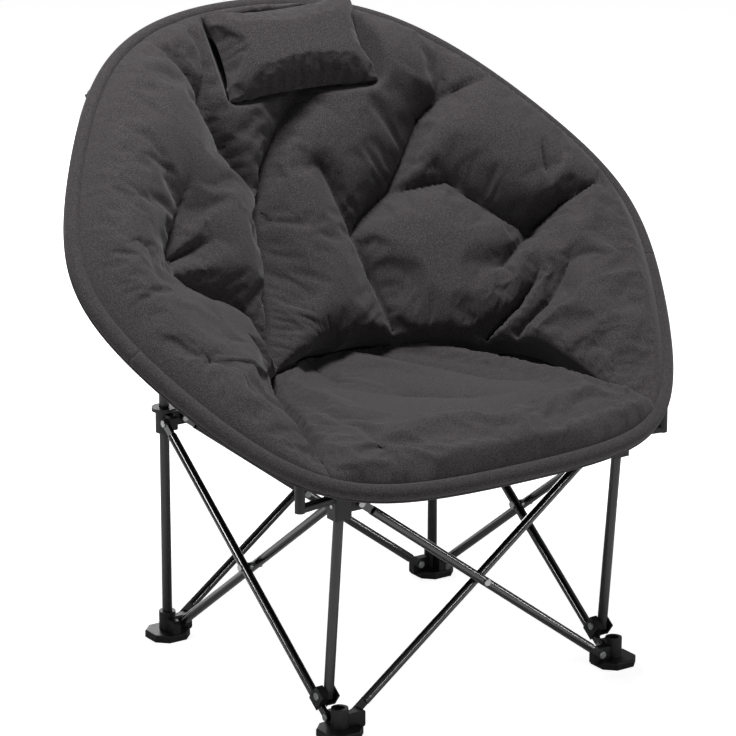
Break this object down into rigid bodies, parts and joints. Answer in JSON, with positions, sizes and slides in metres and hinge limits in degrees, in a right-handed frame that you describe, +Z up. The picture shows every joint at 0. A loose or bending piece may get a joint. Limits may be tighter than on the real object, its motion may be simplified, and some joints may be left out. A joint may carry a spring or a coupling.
{
  "type": "folding saucer chair",
  "caption": "Padded round saucer chair whose four-sided crossed-brace steel frame folds to a bundle.",
  "frame": {"origin": "floor under the middle of the chair's outline", "axes": "+X to the sitter's left as seen from the front (right of the picture), -Y is the front, +Z up"},
  "size_m": [1.0174, 0.8369, 0.9834],
  "materials": {
    "gloss_steel": "black gloss powder-coated steel tube",
    "satin_steel": "black satin powder-coated steel tube",
    "black_plastic": "moulded black plastic",
    "rivet_steel": "bright zinc-plated steel rivet",
    "grey_fabric": "dark grey heathered polyester weave",
    "under_cloth": "black woven under-cloth"
  },
  "bodies": {
    "root": {"foot_rl": "black_plastic", "foot_rivets_rl": "rivet_steel", "leg_rl": "satin_steel", "leg_cap_rl": "black_plastic"},
    "left_brace_inner": {"left_brace_inner": "gloss_steel", "left_cross_rivet": "rivet_steel"},
    "left_brace_outer": {"left_brace_outer": "gloss_steel"},
    "rear_brace_outer": {"rear_brace_outer": "gloss_steel", "rear_cross_rivet": "rivet_steel"},
    "rear_brace_inner": {"rear_brace_inner": "gloss_steel"},
    "front_brace_inner": {"front_brace_inner": "gloss_steel", "front_cross_rivet": "rivet_steel"},
    "front_brace_outer": {"front_brace_outer": "gloss_steel"},
    "right_brace_outer": {"right_brace_outer": "gloss_steel", "right_cross_rivet": "rivet_steel"},
    "right_brace_inner": {"right_brace_inner": "gloss_steel"},
    "hub_rl": {"hub_rl": "black_plastic", "hub_rivets_rl": "rivet_steel"},
    "hub_rr": {"hub_rr": "black_plastic", "hub_rivets_rr": "rivet_steel"},
    "hub_fl": {"hub_fl": "black_plastic", "hub_rivets_fl": "rivet_steel"},
    "hub_fr": {"hub_fr": "black_plastic", "hub_rivets_fr": "rivet_steel"},
    "foot_fl": {"foot_fl": "black_plastic", "foot_rivets_fl": "rivet_steel"},
    "foot_fr": {"foot_fr": "black_plastic", "foot_rivets_fr": "rivet_steel"},
    "foot_rr": {"foot_rr": "black_plastic", "foot_rivets_rr": "rivet_steel", "leg_rr": "satin_steel", "leg_cap_rr": "black_plastic"},
    "leg_fl": {"leg_fl": "satin_steel"},
    "leg_fr": {"leg_fr": "satin_steel"},
    "clip_fl": {"clip_fl": "black_plastic", "clip_rivet_fl": "rivet_steel"},
    "clip_fr": {"clip_fr": "black_plastic", "clip_rivet_fr": "rivet_steel"},
    "saucer_back": {"cloth_back": "under_cloth", "pad_back_left": "grey_fabric", "pad_back_right": "grey_fabric", "pad_shoulder_left": "grey_fabric", "pad_shoulder_right": "grey_fabric", "pad_wing_left": "grey_fabric", "pad_wing_right": "grey_fabric", "pillow": "grey_fabric", "rim_coupler_shoulder": "black_plastic", "rim_knuckle": "black_plastic", "rim_sleeve_back": "grey_fabric", "rim_tube_back": "satin_steel", "rim_tubes_side": "satin_steel"},
    "saucer_front": {"cloth_seat": "under_cloth", "pad_arm_left": "grey_fabric", "pad_arm_right": "grey_fabric", "pad_seat": "grey_fabric", "rim_coupler_hub": "black_plastic", "rim_sleeve_front": "grey_fabric", "rim_tube_front": "satin_steel", "rim_tubes_arm": "satin_steel"}
  },
  "joints": [
    {"name": "fold", "type": "hinge", "parent": "root", "child": "left_brace_inner", "pos_m": [-0.263, 0.18, 0.024], "axis": [-1, 0, 0], "range_deg": [0, 47.13], "deforming": ["cloth_back", "pad_back_left", "pad_back_right", "pad_shoulder_left", "pad_shoulder_right", "pad_wing_left", "pad_wing_right", "pillow", "rim_coupler_shoulder", "rim_knuckle", "rim_sleeve_back", "rim_tube_back", "rim_tubes_side", "cloth_seat", "pad_arm_left", "pad_arm_right", "pad_seat", "rim_coupler_hub", "rim_sleeve_front", "rim_tube_front", "rim_tubes_arm"]},
    {"name": "left_cross", "type": "hinge", "parent": "left_brace_inner", "child": "left_brace_outer", "pos_m": [-0.263, -0.051, 0.19725], "axis": [1, 0, 0], "range_deg": [0, 94.28]},
    {"name": "hub_rl_turn", "type": "hinge", "parent": "left_brace_outer", "child": "hub_rl", "pos_m": [-0.263, 0.18, 0.3705], "axis": [-1, 0, 0], "range_deg": [0, 47.15]},
    {"name": "foot_fl_turn", "type": "hinge", "parent": "left_brace_outer", "child": "foot_fl", "pos_m": [-0.263, -0.282, 0.024], "axis": [-1, 0, 0], "range_deg": [0, 47.15]},
    {"name": "hub_fl_turn", "type": "hinge", "parent": "left_brace_inner", "child": "hub_fl", "pos_m": [-0.263, -0.282, 0.3705], "axis": [1, 0, 0], "range_deg": [0, 47.15]},
    {"name": "rear_fold", "type": "hinge", "parent": "root", "child": "rear_brace_outer", "pos_m": [-0.231, 0.2, 0.024], "axis": [0, -1, 0], "range_deg": [0, 47.15]},
    {"name": "rear_cross", "type": "hinge", "parent": "rear_brace_outer", "child": "rear_brace_inner", "pos_m": [0, 0.2, 0.19725], "axis": [0, 1, 0], "range_deg": [0, 94.28]},
    {"name": "foot_rr_turn", "type": "hinge", "parent": "rear_brace_inner", "child": "foot_rr", "pos_m": [0.231, 0.2, 0.024], "axis": [0, -1, 0], "range_deg": [0, 47.15]},
    {"name": "hub_rr_turn", "type": "hinge", "parent": "rear_brace_outer", "child": "hub_rr", "pos_m": [0.231, 0.2, 0.3705], "axis": [0, 1, 0], "range_deg": [0, 47.15]},
    {"name": "front_fold", "type": "hinge", "parent": "foot_fl", "child": "front_brace_inner", "pos_m": [-0.231, -0.302, 0.024], "axis": [0, -1, 0], "range_deg": [0, 47.15]},
    {"name": "front_cross", "type": "hinge", "parent": "front_brace_inner", "child": "front_brace_outer", "pos_m": [0, -0.302, 0.19725], "axis": [0, 1, 0], "range_deg": [0, 94.28]},
    {"name": "foot_fr_turn", "type": "hinge", "parent": "front_brace_outer", "child": "foot_fr", "pos_m": [0.231, -0.302, 0.024], "axis": [0, -1, 0], "range_deg": [0, 47.15]},
    {"name": "hub_fr_turn", "type": "hinge", "parent": "front_brace_inner", "child": "hub_fr", "pos_m": [0.231, -0.302, 0.3705], "axis": [0, 1, 0], "range_deg": [0, 47.15]},
    {"name": "right_fold", "type": "hinge", "parent": "foot_rr", "child": "right_brace_outer", "pos_m": [0.263, 0.18, 0.024], "axis": [-1, 0, 0], "range_deg": [0, 47.15]},
    {"name": "right_cross", "type": "hinge", "parent": "right_brace_outer", "child": "right_brace_inner", "pos_m": [0.263, -0.051, 0.19725], "axis": [1, 0, 0], "range_deg": [0, 94.28]},
    {"name": "leg_fl_swing", "type": "hinge", "parent": "hub_fl", "child": "leg_fl", "pos_m": [-0.263, -0.302, 0.3705], "axis": [-1, 0, 0], "range_deg": [0, 0.594]},
    {"name": "leg_fr_swing", "type": "hinge", "parent": "hub_fr", "child": "leg_fr", "pos_m": [0.263, -0.302, 0.3705], "axis": [-1, 0, 0], "range_deg": [0, 0.594]},
    {"name": "clip_fl_turn", "type": "hinge", "parent": "leg_fl", "child": "clip_fl", "pos_m": [-0.263, -0.2716, 0.0568], "axis": [1, 0, 0], "range_deg": [0, 47.72]},
    {"name": "clip_fr_turn", "type": "hinge", "parent": "leg_fr", "child": "clip_fr", "pos_m": [0.263, -0.2716, 0.0568], "axis": [1, 0, 0], "range_deg": [0, 47.72]},
    {"name": "ring_back_tilt", "type": "hinge", "parent": "root", "child": "saucer_back", "pos_m": [-0.31, 0.301, 0.903], "axis": [1, 0, 0], "range_deg": [0, 38.7]},
    {"name": "ring_front_lift", "type": "hinge", "parent": "hub_fl", "child": "saucer_front", "pos_m": [-0.342, -0.315, 0.434], "axis": [-1, 0, 0], "range_deg": [0, 100.58]}
  ],
  "couplings": [
    {"joint": "left_cross", "follows": "fold", "ratio": 2},
    {"joint": "hub_rl_turn", "follows": "fold", "ratio": 1},
    {"joint": "foot_fl_turn", "follows": "fold", "ratio": 1},
    {"joint": "hub_fl_turn", "follows": "fold", "ratio": 1},
    {"joint": "rear_fold", "follows": "fold", "ratio": 1},
    {"joint": "rear_cross", "follows": "fold", "ratio": 2},
    {"joint": "foot_rr_turn", "follows": "fold", "ratio": 1},
    {"joint": "hub_rr_turn", "follows": "fold", "ratio": 1},
    {"joint": "front_fold", "follows": "fold", "ratio": 1},
    {"joint": "front_cross", "follows": "fold", "ratio": 2},
    {"joint": "foot_fr_turn", "follows": "fold", "ratio": 1},
    {"joint": "hub_fr_turn", "follows": "fold", "ratio": 1},
    {"joint": "right_fold", "follows": "fold", "ratio": 1},
    {"joint": "right_cross", "follows": "fold", "ratio": 2},
    {"joint": "leg_fl_swing", "follows": "fold", "ratio": 0.012188},
    {"joint": "leg_fr_swing", "follows": "fold", "ratio": 0.012188},
    {"joint": "clip_fl_turn", "follows": "fold", "ratio": 1.0122},
    {"joint": "clip_fr_turn", "follows": "fold", "ratio": 1.0122},
    {"joint": "ring_back_tilt", "follows": "fold", "ratio": 0.82063},
    {"joint": "ring_front_lift", "follows": "fold", "ratio": 2.1337}
  ]
}
